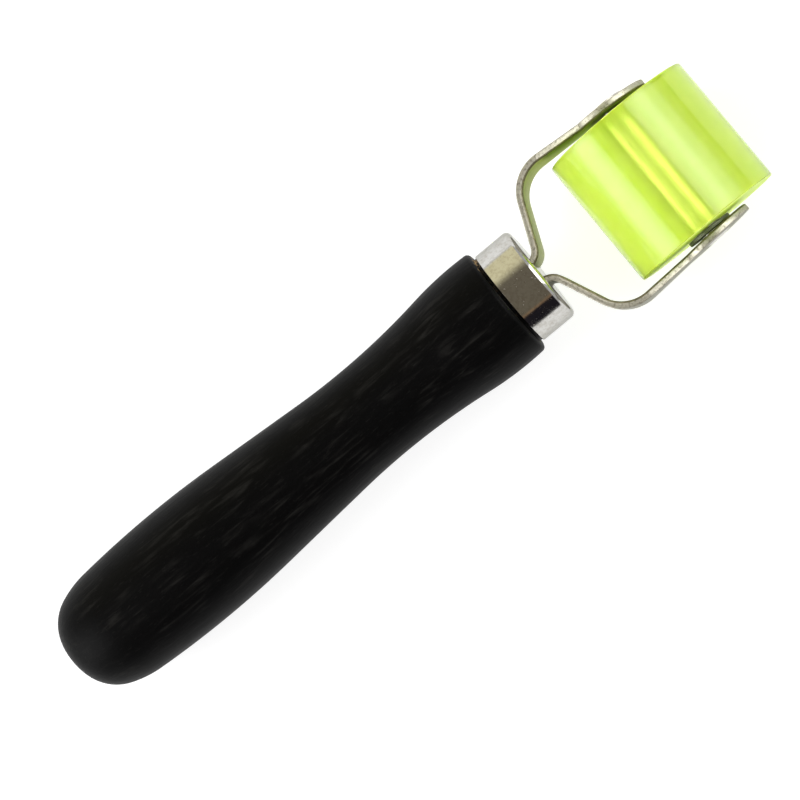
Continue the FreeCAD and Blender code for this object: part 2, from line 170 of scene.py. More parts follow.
class Shader:
    """A node material while it is being built."""

    def __init__(self, name: str) -> None:
        """Starts an empty material.

        Args:
            name: the material's name.
        """
        self.material = bpy.data.materials.new(name)
        self.material.use_nodes = True
        self.tree = self.material.node_tree
        self.tree.nodes.clear()

    def node(self, kind: str, values: dict[Any, Any], output: int | str = 0,
             **settings: Any) -> Wire:
        """Adds a node.

        Args:
            kind: the node's type.
            values: its inputs' values or links, by name or number.
            output: which output to return.
            settings: its properties, set first.

        Returns:
            The chosen output.
        """
        made = self.tree.nodes.new(kind)
        for key, value in settings.items():
            setattr(made, key, value)
        for key, value in values.items():
            if isinstance(value, Wire):
                self.tree.links.new(value.socket, made.inputs[key])
            else:
                made.inputs[key].default_value = value
        return Wire(self, made.outputs[output])

    def where(self) -> Wire:
        """Object coordinates."""
        return self.node("ShaderNodeTexCoord", {}, "Object")

    def place(self, scale: Sequence[float] = (1, 1, 1)) -> Wire:
        """Object coordinates turned back into the tool's frame, in millimetres.

        Args:
            scale: how much faster the pattern runs along each axis.

        Returns:
            The coordinates.
        """
        back = REST.inverted()
        upright = self.node("ShaderNodeMapping", {
            "Vector": self.where(), "Location": back.translation, "Rotation": back.to_euler(),
        })
        per_mm = [s / MM for s in scale]
        return self.node("ShaderNodeVectorMath", {0: upright, 1: per_mm}, operation="MULTIPLY")

    def split(self, vector: Wire) -> tuple[Wire, Wire, Wire]:
        """A vector's three parts.

        Args:
            vector: the vector.

        Returns:
            Its X, Y and Z.
        """
        made = self.node("ShaderNodeSeparateXYZ", {0: vector})
        return tuple(Wire(self, output) for output in made.socket.node.outputs)

    def noise(self, vector: Wire, scale: float, detail: float, **more: float) -> Wire:
        """A noise pattern.

        Args:
            vector: the coordinates that it reads.
            scale: its scale.
            detail: its number of octaves.
            more: further inputs by name.

        Returns:
            A value about 0.5.
        """
        values = {"Vector": vector, "Scale": scale, "Detail": detail, **more}
        return self.node("ShaderNodeTexNoise", values)

    def mix(self, factor: Any, first: Any, second: Any) -> Wire:
        """Two colours mixed.

        Args:
            factor: 0 for the first, 1 for the second.
            first, second: the colours.

        Returns:
            The mixture.
        """
        values = {0: factor, 6: first, 7: second}
        return self.node("ShaderNodeMix", values, 2, data_type="RGBA")

    def bump(self, height: Wire, distance: float, strength: float) -> Wire:
        """A bumped normal.

        Args:
            height: the relief, 0 to 1.
            distance: how deep the relief is, in metres.
            strength: the share of it that shows.

        Returns:
            The normal.
        """
        return self.node("ShaderNodeBump", {
            "Height": height, "Distance": distance, "Strength": strength,
        })

    def finish(self, surface: Wire, volume: Wire | None = None) -> bpy.types.Material:
        """Joins the shader to the output.

        Args:
            surface: the surface shader.
            volume: the volume shader, if there is one.

        Returns:
            The material.
        """
        made = self.tree.nodes.new("ShaderNodeOutputMaterial")
        self.tree.links.new(surface.socket, made.inputs["Surface"])
        if volume is not None:
            self.tree.links.new(volume.socket, made.inputs["Volume"])
        return self.material


def rgba(red: float, green: float, blue: float) -> Colour:
    """An opaque colour."""
    return (red, green, blue, 1.0)


def grey(level: float) -> Colour:
    """An opaque grey."""
    return rgba(level, level, level)


# --- finishes ---


@dataclass(frozen=True)
class PaintedWood:
    """Black satin paint over turned hardwood, whose grain shows through faintly.

    Attributes:
        paint: the paint's colour.
        worn: the paint where it lies thin on the grain.
        wood: bare wood, in a chip beside the ferrule.
        chip_aim: the way, as parts along Y and Z, in which the chip lies.
        gloss: the paint's roughness.
    """

    paint: Colour = rgba(0.0009, 0.0009, 0.0010)
    worn: Colour = rgba(0.011, 0.0105, 0.0095)
    wood: Colour = rgba(0.62, 0.43, 0.22)
    chip_aim: Point = (0.906, 0.423)
    gloss: float = 0.46

    def material(self) -> bpy.types.Material:
        """The finish as a material.

        Returns:
            The material.
        """
        made = Shader("painted_wood")
        along = made.place((0.09, 1, 1))
        grain = made.noise(along, 0.9, 4.0, Distortion=0.6)
        pores = made.noise(made.place((0.16, 1, 1)), 3.2, 2.0)
        blotch = made.noise(made.place(), 0.11, 3.0)
        thin = grain.ramp(0.48, 0.74) * blotch.ramp(0.36, 0.62) + pores.ramp(0.62, 0.72) * 0.4
        colour = made.mix(thin.clamped(), self.paint, self.worn)

        x, y, z = made.split(made.place())
        ragged = made.noise(made.place((1.2, 1, 1)), 0.8, 3.0)
        neck = (x + ragged * 0.6).ramp(0.50, 0.66)
        outward = y * self.chip_aim[0] + z * self.chip_aim[1]
        chipped = (outward + ragged * 1.2).ramp(11.95, 12.15)
        chip = (neck * chipped).clamped()
        rubbed = (neck * ragged.ramp(0.54, 0.66) * 0.03).clamped()
        colour = made.mix(rubbed, colour, self.wood)
        colour = made.mix(chip, colour, self.wood)

        relief = pores * 0.35 + grain * 0.65
        rough = grain * 0.22 + (self.gloss - 0.08) + chip * 0.3
        return made.finish(made.node(SURFACE, {
            "Base Color": colour, "Roughness": rough, "Specular IOR Level": 0.055,
            "Normal": made.bump(relief, 0.09 * MM, 0.8),
        }))


@dataclass(frozen=True)
class BrightNickel:
    """Bright nickel plate on the drawn ferrule.

    Attributes:
        tint, dulled: the plate's colour, bright and under its haze.
        glance: how its colour holds up at a glancing angle.
        gloss: its roughness.
    """

    tint: Colour = rgba(0.57, 0.565, 0.54)
    dulled: Colour = rgba(0.38, 0.355, 0.31)
    glance: Colour = rgba(0.66, 0.66, 0.64)
    gloss: float = 0.09

    def material(self) -> bpy.types.Material:
        """The finish as a material.

        Returns:
            The material.
        """
        made = Shader("bright_nickel")
        place = made.place()
        cloud = made.noise(place, 0.5, 4.0)
        rings = made.noise(made.place((5.0, 0.25, 0.25)), 2.2, 2.0)
        specks = made.noise(place, 1.7, 1.0).ramp(0.70, 0.76)
        haze = made.noise(place, 1.3, 3.0)
        stain = cloud.ramp(0.40, 0.70) * 0.25 + haze.ramp(0.45, 0.62) * 0.32 + specks * 0.5
        colour = made.mix(stain.clamped(), self.tint, self.dulled)
        rough = cloud.ramp(0.35, 0.8) * 0.08 + haze * 0.06 + self.gloss - 0.03 + specks * 0.25
        relief = cloud * 0.45 + haze * 0.35 + rings * 0.2
        return made.finish(made.node(SURFACE, {
            "Base Color": colour, "Metallic": 1.0, "Roughness": rough,
            "Specular Tint": self.glance, "Normal": made.bump(relief, 0.018 * MM, 0.6),
        }))


@dataclass(frozen=True)
class PlatedStrip:
    """Nickel plate on rolled strip, or on its sheared edges.

    Attributes:
        name: the material's name.
        tint: the plate's colour.
        shade: its colour in the pits.
        glance: how its colour holds up at a glancing angle.
        gloss: its roughness.
        metal: how metallic it is.
        pitting: how deep the surface's relief is, in metres.
        painted_tyre_reflection, painted_reflection_share: a lime reflection of the tyre painted
        into the colour towards the tyre, and how much of it.
    """

    name: str = "plated_strip"
    tint: Colour = rgba(0.50, 0.49, 0.44)
    shade: Colour = rgba(0.28, 0.265, 0.22)
    glance: Colour = rgba(0.42, 0.42, 0.38)
    gloss: float = 0.36
    metal: float = 1.0
    pitting: float = 0.01 * MM
    painted_tyre_reflection: Colour = rgba(0.42, 0.47, 0.15)
    painted_reflection_share: float = 0.0

    def material(self) -> bpy.types.Material:
        """The finish as a material.

        Returns:
            The material.
        """
        made = Shader(self.name)
        place = made.place()
        fine = made.noise(place, 1.5, 4.0, Roughness=0.66)
        patches = made.noise(place, 0.42, 3.0)
        drawn = made.noise(made.place((0.3, 0.3, 2.2)), 2.4, 3.0)
        pits = (fine.ramp(0.46, 0.70) * 0.75 + patches.ramp(0.5, 0.8) * 0.35).clamped()
        # painted reflection: the tyre's lime light is painted into the colour, stronger towards
        # the tyre
        tyre_reflection_mask = made.split(place)[0].ramp(11.0, 30.0) * self.painted_reflection_share
        colour = made.mix(tyre_reflection_mask, made.mix(pits, self.tint, self.shade), self.painted_tyre_reflection)
        rough = fine * 0.18 + patches * 0.1 + self.gloss - 0.1
        relief = fine * 0.6 + drawn * 0.4
        return made.finish(made.node(SURFACE, {
            "Base Color": colour, "Metallic": self.metal, "Roughness": rough,
            "Specular Tint": self.glance, "Normal": made.bump(relief, self.pitting, 0.8),
        }))


@dataclass(frozen=True)
class PlainSteel:
    """Plain or zinc-plated steel on small turned and stamped pieces.

    Attributes:
        name: the material's name.
        tint: its colour.
        gloss: its roughness.
        drawn: how much its pattern is drawn out along Y, less than 1 for streaks.
        metal: how metallic it is, less than 1 where oxide dulls it.
        relief: how deep its pattern is, in metres.
    """

    name: str
    tint: Colour = rgba(0.56, 0.55, 0.52)
    gloss: float = 0.3
    drawn: float = 1.0
    metal: float = 1.0
    relief: float = 0.01 * MM

    def material(self) -> bpy.types.Material:
        """The finish as a material.

        Returns:
            The material.
        """
        made = Shader(self.name)
        place = made.place((1, self.drawn, 1))
        fine = made.noise(place, 2.6, 3.0)
        cloud = made.noise(place, 0.7, 2.0)
        dull = tuple(0.6 * c for c in self.tint[:3]) + (1.0,)
        colour = made.mix(fine.ramp(0.45, 0.75) * 0.7, self.tint, dull)
        return made.finish(made.node(SURFACE, {
            "Base Color": colour, "Metallic": self.metal,
            "Roughness": cloud * 0.2 + self.gloss - 0.1,
            "Normal": made.bump(fine, self.relief, 0.7),
        }))


@dataclass(frozen=True)
class LimeElastomer:
    """Clear lime polyurethane, moulded round its sleeve.

    Attributes:
        name: the material's name.
        tint: the surface's tint.
        milky: the colour of the light that is scattered near the surface.
        body: the share of each colour that the density spares.
        density: how strongly the body absorbs, per metre.
        painted_glow, painted_glow_share: a glow painted on as emission, standing in for the
            light of the fluorescent dye, and how much of it.
        coarse: how much rougher than as moulded the surface is.
        cloud: the share of scattered light.
        index: the index of refraction.
    """

    name: str = "lime_elastomer"
    tint: Colour = rgba(0.98, 1.0, 0.84)
    milky: Colour = rgba(0.60, 0.86, 0.065)
    body: Colour = rgba(0.845, 0.905, 0.0)
    density: float = 52.0
    painted_glow: Colour = rgba(0.50, 0.62, 0.02)
    painted_glow_share: float = 0.04
    coarse: float = 0.0
    cloud: float = 0.32
    index: float = 1.47

    def material(self) -> bpy.types.Material:
        """The finish as a material.

        Returns:
            The material.
        """
        made = Shader(self.name)
        place = made.place()
        drift = made.noise(place, 0.16, 2.0).ramp(0.3, 0.7)
        flow = made.noise(made.place((1.4, 0.05, 1.4)), 0.9, 2.0)
        grit = made.noise(place, 2.2, 2.0)
        rough = drift * 0.05 + grit * 0.04 + (0.05 + self.coarse)
        normal = made.bump(flow * 0.8 + grit * 0.2, 0.02 * MM, 0.5)
        # The emission is a painted glow: it brightens the tyre and lights its surroundings
        # green.
        both_ways = {"IOR": self.index, "Normal": normal, "Emission Color": self.painted_glow,
                     "Emission Strength": self.painted_glow_share}
        clear = made.node(SURFACE, {
            **both_ways, "Base Color": made.mix(drift, self.tint, rgba(1.0, 1.0, 0.88)),
            "Roughness": rough, "Transmission Weight": 1.0,
        })
        cloudy = made.node(SURFACE, {
            **both_ways, "Base Color": made.mix(drift, self.milky, rgba(0.65, 0.90, 0.09)),
            "Roughness": rough + 0.05, "Subsurface Weight": 1.0,
            "Subsurface Radius": (1.0, 1.0, 0.25), "Subsurface Scale": 6 * MM,
        })
        both = made.node("ShaderNodeMixShader", {0: self.cloud, 1: clear, 2: cloudy})
        absorb = made.node("ShaderNodeVolumeAbsorption", {
            "Color": self.body, "Density": self.density,
        })
        return made.finish(both, absorb)


@dataclass(frozen=True)
class PaleFloor:
    """A plain matt floor that also glows a little, so that shadows stay faint.

    Attributes:
        colour: its colour.
        glow: how strongly it glows.
    """

    colour: Colour = grey(0.50)
    glow: float = 0.75

    def material(self) -> bpy.types.Material:
        """The finish as a material.

        Returns:
            The material.
        """
        made = Shader("pale_floor")
        faint = made.noise(made.where(), 3.0, 2.0)
        return made.finish(made.node(SURFACE, {
            "Base Color": made.mix(faint, self.colour, grey(0.49)), "Roughness": 0.9,
            "Specular IOR Level": 0.0, "Emission Color": grey(1.0),
            "Emission Strength": self.glow,
        }))


@dataclass(frozen=True)
class Band:
    """One band of a bent card's glow.

    Attributes:
        start: the angle from straight up, in degrees, that it starts at.
        blend: how many degrees it takes to take over from the band before.
        colour: what it shines, brighter than 1 for a lamp.
    """

    start: float
    blend: float
    colour: Colour


@dataclass(frozen=True)
class BandedGlow:
    """The glow of a card bent round Y or X, in bands along its bend.

    Attributes:
        name: the material's name.
        bands: the bands in the order of their angles.
        across: 0 where X grows along the bend, 1 where Y does.
    """

    name: str
    bands: tuple[Band, ...]
    across: int

    def material(self) -> bpy.types.Material:
        """The glow as a material.

        Returns:
            The material.
        """
        made = Shader(self.name)
        parts = made.split(made.where())
        angle = parts[self.across].math("ARCTAN2", parts[self.across], parts[2])
        angle = angle * math.degrees(1.0)
        colour: Any = self.bands[0].colour
        for band in self.bands[1:]:
            near, far = band.start - band.blend / 2, band.start + band.blend / 2
            colour = made.mix(angle.ramp(near, far), colour, band.colour)
        return made.finish(made.node("ShaderNodeEmission", {"Color": colour}))


# --- mesh building ---


def unit(heading: float) -> Vector:
    """The unit vector that points an angle away from the first axis."""
    return Vector((math.cos(heading), math.sin(heading)))


def heading_of(run: Vector) -> float:
    """The angle between the first axis and a vector."""
    return math.atan2(run.y, run.x)


def arc(centre: Point, radius: float, start: float, end: float, steps: int) -> list[Point]:
    """Points along a round stretch, both ends included.

    Args:
        centre, radius: the arc's centre and radius.
        start, end: the angles, in radians, of its two ends.
        steps: the number of equal steps.

    Returns:
        The points in order.
    """
    angles = (start + (end - start) * i / steps for i in range(steps + 1))
    return [(centre[0] + radius * math.cos(a), centre[1] + radius * math.sin(a)) for a in angles]


def settle(name: str, shape: bmesh.types.BMesh,
           finishes: Sequence[bpy.types.Material]) -> bpy.types.Object:
    """Makes an object of a mesh that has been shaped.

    Args:
        name: the object's name.
        shape: its mesh, which is freed.
        finishes: its materials, by face index.

    Returns:
        The object.
    """
    mesh = bpy.data.meshes.new(name)
    shape.to_mesh(mesh)
    shape.free()
    for finish in finishes:
        mesh.materials.append(finish)
    made = bpy.data.objects.new(name, mesh)
    bpy.context.scene.collection.objects.link(made)
    return made


@dataclass
class Piece:
    """One finished piece: its mesh in the tool's frame, and how it belongs to the tool.

    Attributes:
        name: the piece's name.
        body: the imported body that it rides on.
        slot: the record's material slot that its finish comes from.
        replaces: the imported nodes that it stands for.
        mesh: the mesh while it is being shaped.
    """

    name: str
    body: str
    slot: str
    replaces: tuple[str, ...]
    mesh: bmesh.types.BMesh = field(default_factory=bmesh.new)

    def turn(self, outline: Sequence[Point], axis: str = "X", steps: int = 128,
             closed: bool = False) -> None:
        """Turns the piece, whose mesh is still empty.

        Args:
            outline: its outline as distances along the axis and out from it.
            axis: X for the tool's axis, Y for the axle's direction.
            steps: the number of facets round it.
            closed: whether the outline's last point joins its first.
        """
        made = self.mesh
        place = {"X": lambda a, r: (a, r, 0), "Y": lambda a, r: (r, a, 0)}[axis]
        verts = [made.verts.new(place(a, r)) for a, r in outline]
        pairs = list(zip(verts, verts[1:])) + ([(verts[-1], verts[0])] if closed else [])
        edges = [made.edges.new(pair) for pair in pairs]
        direction = (1, 0, 0) if axis == "X" else (0, 1, 0)
        bmesh.ops.spin(made, geom=verts + edges, cent=(0, 0, 0), axis=direction,
                       angle=math.tau, steps=steps, use_merge=True)
        bmesh.ops.remove_doubles(made, verts=made.verts, dist=1e-7)
        bmesh.ops.recalc_face_normals(made, faces=made.faces)
        made.normal_update()

    def finish(self, finishes: Sequence[bpy.types.Material], sharp: float = 35.0) -> None:
        """Args:
            finishes: its materials, by face index.
            sharp: the angle, in degrees, past which an edge is drawn sharp.
        """
        bmesh.ops.transform(self.mesh, matrix=REST, verts=self.mesh.verts)
        made = settle(self.name, self.mesh, finishes)
        polygons = made.data.polygons
        polygons.foreach_set("use_smooth", [True] * len(polygons))
        made.data.set_sharp_from_angle(angle=math.radians(sharp))
        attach(made, self.body)
        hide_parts(*self.replaces)
        LOG.info("%s: %d faces on %s", self.name, len(polygons), self.body)


# --- handle ---


@dataclass
class Handle:
    """The turned handle. Stations are along X from the shoulder.

    Attributes:
        length: from the shoulder to the butt.
        butt, corner, cheek: radii of the three arcs that round the butt.
        cheek_end: the station where the cheek runs into the belly.
        belly_station, belly_radius, belly_curve: the belly's widest place and its arc.
        waist_station, waist_radius, waist_curve: the waist's narrowest place and its arc.
        flare_station, flare_radius: the widest place of the front swell.
        shoulder, face: the radius that rounds the shoulder's rim, and its flat face's station.
        neck_radius, neck_end: the painted step behind the ferrule.
        neck_run, neck_drop: the small slope from the shoulder's face to the step.
        tenon_radius, tenon_end: the tenon inside the ferrule.
        lump, lumps_per_metre: how far the paint's ragged edge strays, and how often.
    """

    length: float = 127.0 * MM
    butt: float = 18.1 * MM
    corner: float = 10.7 * MM
    cheek: float = 25.0 * MM
    cheek_end: float = -112.7 * MM
    belly_station: float = -93.3 * MM
    belly_radius: float = 14.48 * MM
    belly_curve: float = 248.0 * MM
    waist_station: float = -38.4 * MM
    waist_radius: float = 11.54 * MM
    waist_curve: float = 170.0 * MM
    flare_station: float = -5.1 * MM
    flare_radius: float = 13.78 * MM
    shoulder: float = 1.1 * MM
    face: float = 0.22 * MM
    neck_radius: float = 11.55 * MM
    neck_end: float = 1.0 * MM
    neck_run: float = 0.2 * MM
    neck_drop: float = 0.25 * MM
    tenon_radius: float = 11.2 * MM
    tenon_end: float = 8.3 * MM
    lump: float = 0.16 * MM
    lumps_per_metre: float = 900.0

    def outline(self) -> list[Point]:
        """The turned outline from the butt to the end of the tenon.

        Returns:
            Its points, each a station and a radius.
        """
        butt = Vector((self.butt - self.length, 0))
        belly = Vector((self.belly_station, self.belly_radius - self.belly_curve))
        waist = Vector((self.waist_station, self.waist_radius + self.waist_curve))
        reach = self.cheek_end - belly.x
        cheek_end = belly + Vector((reach, math.sqrt(self.belly_curve**2 - reach**2)))
        cheek = cheek_end + (belly - cheek_end).normalized() * self.cheek
        corner = self.inner_circle(butt, cheek)

        apart = waist - belly
        lean = math.acos((self.belly_curve + self.waist_curve) / apart.length)
        aim = heading_of(apart) + lean
        drop = waist.y - self.flare_radius
        run = self.flare_station - waist.x
        swell = (run**2 + drop**2 - self.waist_curve**2) / (2 * (self.waist_curve - drop))
        flare = Vector((self.flare_station, self.flare_radius - swell))
        hollow_end = heading_of(flare - waist)

        rim_x = self.face - self.shoulder
        rim_y = flare.y + math.sqrt(swell**2 - (rim_x - flare.x) ** 2) - self.shoulder
        knuckle = heading_of(corner - butt)
        joint = heading_of(corner - cheek)
        blend = heading_of(cheek_end - belly)
        rim = math.atan2(rim_y + self.shoulder - flare.y, rim_x - flare.x)
        points = [
            *arc(butt, self.butt, math.pi, knuckle, 10),
            *arc(corner, self.corner, knuckle, joint, 14),
            *arc(cheek, self.cheek, joint, blend, 10),
            *arc(belly, self.belly_curve, blend, aim, 22),
            *arc(waist, self.waist_curve, aim - math.pi, hollow_end, 30),
            *arc(flare, swell, hollow_end + math.pi, rim, 14),
            *arc((rim_x, rim_y), self.shoulder, math.pi / 2, 0, 8),
            (self.face, self.neck_radius + self.neck_drop),
            (self.face + self.neck_run, self.neck_radius),
            (self.neck_end, self.neck_radius),
            (self.neck_end, self.tenon_radius),
            (self.tenon_end, self.tenon_radius),
            (self.tenon_end, 0.0),
        ]
        points[0] = (-self.length, 0.0)
        return points

    def inner_circle(self, left: Vector, right: Vector) -> Vector:
        """The centre of the corner's circle, which touches the butt's and the cheek's inside.

        Args:
            left, right: the centres of the butt's and the cheek's arcs.

        Returns:
            The centre that lies nearer the butt.
        """
        near, far = self.butt - self.corner, self.cheek - self.corner
        apart = (right - left).length
        along = (near**2 - far**2 + apart**2) / (2 * apart)
        across = math.sqrt(near**2 - along**2)
        ahead = (right - left).normalized()
        sideways = Vector((-ahead.y, ahead.x))
        return min((left + ahead * along + sideways * s for s in (across, -across)),
                   key=lambda c: c.x)

    def build(self, paint: bpy.types.Material) -> None:
        """Turns the handle and roughens the paint's edge at the neck.

        Args:
            paint: its finish.
        """
        piece = Piece("turned_handle", "frame", "painted_wood", ("handle",))
        piece.turn(self.outline(), steps=144)
        for vert in piece.mesh.verts:
            across = Vector((0, vert.co.y, vert.co.z))
            painted = across.length > self.tenon_radius + self.lump
            if painted and 0.0 < vert.co.x < self.neck_end + TINY:
                stray = self.lump * noise.noise(vert.co * self.lumps_per_metre)
                vert.co += across.normalized() * stray
        piece.finish([paint])


# --- ferrule ---


@dataclass
class Ferrule:
    """The drawn cap over the tenon.

    Attributes:
        radius, wall: its outside radius and its wall.
        back, front: the stations of its rim and of its closed face.
        nose, lip: the radii between its skirt and its face, and at its rim.
        face_ring: where its face has a ring of edges, as a share of its radius.
        slot_near, slot_far: how far from the middle each arm's slot starts and ends.
        slot_half_height: half the slots' height.
    """

    radius: float = 12.0 * MM
    wall: float = 0.8 * MM
    back: float = 0.95 * MM
    front: float = 10.2 * MM
    nose: float = 1.4 * MM
    lip: float = 0.18 * MM
    face_ring: float = 0.62
    slot_near: float = 1.4 * MM
    slot_far: float = 3.3 * MM
    slot_half_height: float = 9.675 * MM

    def build(self, plate: bpy.types.Material) -> None:
        """Turns the shell and cuts its slots.

        Args:
            plate: its finish.
        """
        piece = Piece("drawn_ferrule", "frame", "polished_nickel", ("ferrule",))
        corner = (self.front - self.nose, self.radius - self.nose)
        rim = (self.back + self.lip, self.radius - self.lip)
        outside = [
            *arc(rim, self.lip, math.pi, math.pi / 2, 4),
            *arc(corner, self.nose, math.pi / 2, 0, 12),
            (self.front, self.face_ring * self.radius),
            (self.front, 0.0),
        ]
        inside = [
            (self.front - self.wall, 0.0),
            (self.front - self.wall, self.radius - self.nose),
            (self.front - self.nose, self.radius - self.wall),
            (self.back, self.radius - self.wall),
        ]
        piece.turn(outside + inside, steps=160, closed=True)
        for side in Side:
            self.cut_slot(piece.mesh, side)
        piece.finish([plate], sharp=40.0)

    def cut_slot(self, mesh: bmesh.types.BMesh, side: Side) -> None:
        """Cuts one slot through the closed face and closes its rim.

        Args:
            mesh: the ferrule's mesh.
            side: which arm's slot it is.
        """
        floor = self.front - 1.5 * self.wall
        near, far = sorted((self.slot_near * side.value, self.slot_far * side.value))
        high = self.slot_half_height
        for spot, normal in (((0, near, 0), (0, 1, 0)), ((0, far, 0), (0, 1, 0)),
                             ((0, 0, high), (0, 0, 1)), ((0, 0, -high), (0, 0, 1))):
            front = [f for f in mesh.faces if f.calc_center_median().x > floor]
            parts = {part for f in front for part in (f, *f.edges, *f.verts)}
            bmesh.ops.bisect_plane(mesh, geom=list(parts), dist=1e-7, plane_co=spot,
                                   plane_no=normal)
        middles = {f: f.calc_center_median() for f in mesh.faces}
        doomed = [f for f, middle in middles.items()
                  if middle.x > floor and near < middle.y < far and abs(middle.z) < high]
        bmesh.ops.delete(mesh, geom=doomed, context="FACES")
        rims = [e for e in mesh.edges if e.is_boundary]
        bmesh.ops.bridge_loops(mesh, edges=rims)
        bmesh.ops.recalc_face_normals(mesh, faces=mesh.faces)


# --- fork ---


@dataclass
class ForkArm:
    """A fork arm, blanked from strip and then bent.

    Attributes:
        side: which side of the tool it is on.
        width, thickness: the strip's size.
        gap: the space between the two tangs.
        tang_end: the station where the modelled tang starts.
        slant_station, slant: the first bend's corner, and how steeply the arm then runs out.
        toe: how far the cheek leans in towards the roller.
        small_bend, large_bend: the two bends' radii at mid-thickness.
        inside: the gap between the two arms at the axle.
        axle: the axle's station.
        taper_station: where the strip starts to narrow.
        throat: its width where the ear begins.
        ear: the ear's radius.
        inner_round, outer_round: how much its rims are rounded towards the roller and away.
    """

    side: Side
    width: float = 19.05 * MM
    thickness: float = 1.6 * MM
    gap: float = 3.1 * MM
    tang_end: float = 4.0 * MM
    slant_station: float = 11.72 * MM
    slant: float = math.radians(66.7)
    toe: float = math.radians(3.1)
    small_bend: float = 3.5 * MM
    large_bend: float = 9.0 * MM
    inside: float = 34.9 * MM
    axle: float = AXLE_STATION
    taper_station: float = 25.4 * MM
    throat: float = 12.0 * MM
    ear: float = 9.65 * MM
    inner_round: float = 0.45 * MM
    outer_round: float = 0.22 * MM

    def runs(self) -> tuple[float, float, float]:
        """The lengths of the tang, of the straight between the bends, and of the cheek.

        Returns:
            The three lengths, the last one as far as the axle.
        """
        low_y = (self.gap + self.thickness) / 2
        axle_y = self.inside / 2 + self.thickness / 2 / math.cos(self.toe)
        rise, fall = math.tan(self.slant), math.tan(self.toe)
        level = axle_y - low_y + self.axle * fall + self.slant_station * rise
        high_x = level / (rise + fall)
        low_cut = self.small_bend * math.tan(self.slant / 2)
        high_cut = self.large_bend * math.tan((self.slant + self.toe) / 2)
        tang = self.slant_station - low_cut - self.tang_end
        riser = (high_x - self.slant_station) / math.cos(self.slant) - low_cut - high_cut
        cheek = (self.axle - high_x) / math.cos(self.toe) - high_cut
        return tang, riser, cheek

    def bent(self, flat: Vector) -> Vector:
        """Where a point of the flat blank goes when the strip is bent.

        Args:
            flat: distance along the strip, distance out from mid-thickness, and height.

        Returns:
            The point in the tool's frame, for the left arm.
        """
        tang, riser, _ = self.runs()
        spot = Vector((self.tang_end, (self.gap + self.thickness) / 2))
        heading, left = 0.0, flat.x
        bends = ((tang, self.small_bend, self.slant),
                 (riser, self.large_bend, -self.slant - self.toe))
        for straight, radius, angle in bends:
            step = min(left, straight)
            spot += step * unit(heading)
            left -= step
            share = min(left / (radius * abs(angle)), 1.0)
            turn = math.copysign(1.0, angle)
            centre = spot + turn * radius * unit(heading).orthogonal()
            heading += angle * share
            spot = centre - turn * radius * unit(heading).orthogonal()
            left -= radius * abs(angle) * share
        spot += left * unit(heading)
        spot += flat.y * unit(heading).orthogonal()
        return Vector((spot.x, spot.y, flat.z))

    def build(self, finishes: Sequence[bpy.types.Material]) -> None:
        """Blanks the strip, rounds its rims, bends it and dresses it.

        Args:
            finishes: the finishes of its outer face, its sheared edges, its inner rims, whose
                dark colour is painted shade, and its inner face, which carries a painted
                reflection of the tyre.
        """
        name = f"strip_arm_{self.side.name.lower()}"
        piece = Piece(name, "frame", "plated_strip", (f"fork_arm_{self.side.name.lower()}",))
        tang, riser, cheek = self.runs()
        low_arc = self.small_bend * self.slant
        high_arc = self.large_bend * (self.slant + self.toe)
        second = tang + low_arc + riser
        axle = second + high_arc + cheek
        half, throat = self.width / 2, self.throat / 2
        mouth = math.atan2(throat, -math.sqrt(self.ear**2 - throat**2))
        taper = axle - (self.axle - self.taper_station)
        upper = [(0.0, half), (taper, half), *arc((axle, 0), self.ear, mouth, 0, 30)]
        outline = upper + [(s, -z) for s, z in reversed(upper[:-1])]

        blank = piece.mesh
        verts = [blank.verts.new((s, -self.thickness / 2, z)) for s, z in outline]
        face = blank.faces.new(verts)
        grown = bmesh.ops.extrude_face_region(blank, geom=[face])
        moved = [v for v in grown["geom"] if isinstance(v, bmesh.types.BMVert)]
        bmesh.ops.translate(blank, verts=moved, vec=(0, self.thickness, 0))
        bmesh.ops.recalc_face_normals(blank, faces=blank.faces)
        for f in blank.faces:
            f.material_index = 1 if abs(f.normal.y) < 0.9 else 0 if f.normal.y > 0 else 3
        # The inner rims take the dark finish: painted shade along the rounded rim beside the
        # inner face.
        for turn, width, finish in ((-1, self.inner_round, 2), (1, self.outer_round, 1)):
            rims = [e for e in blank.edges if e.verts[0].co.y * turn > 0
                    and sum(f.material_index == 1 for f in e.link_faces) == 1]
            bmesh.ops.bevel(blank, geom=rims, offset=width, offset_type="OFFSET",
                            segments=3, profile=0.5, affect="EDGES", material=finish)
        self.slice(blank, tang, low_arc, 16)
        self.slice(blank, second, high_arc, 26)
        for vert in blank.verts:
            vert.co = self.bent(vert.co)
            vert.co.y *= self.side.value
        bmesh.ops.recalc_face_normals(blank, faces=blank.faces)
        piece.finish(finishes, sharp=30.0)

    def slice(self, blank: bmesh.types.BMesh, start: float, length: float, steps: int) -> None:
        """Cuts the blank across where it will bend.

        Args:
            blank: the blank's mesh.
            start: where the bend starts along the strip.
            length: how long it is along mid-thickness.
            steps: the number of facets round it.
        """
        for i in range(steps + 1):
            spot = (start + length * i / steps, 0, 0)
            geom = blank.verts[:] + blank.edges[:] + blank.faces[:]
            bmesh.ops.bisect_plane(blank, geom=geom, dist=1e-8, plane_co=spot,
                                   plane_no=(1, 0, 0))


# --- roller ---


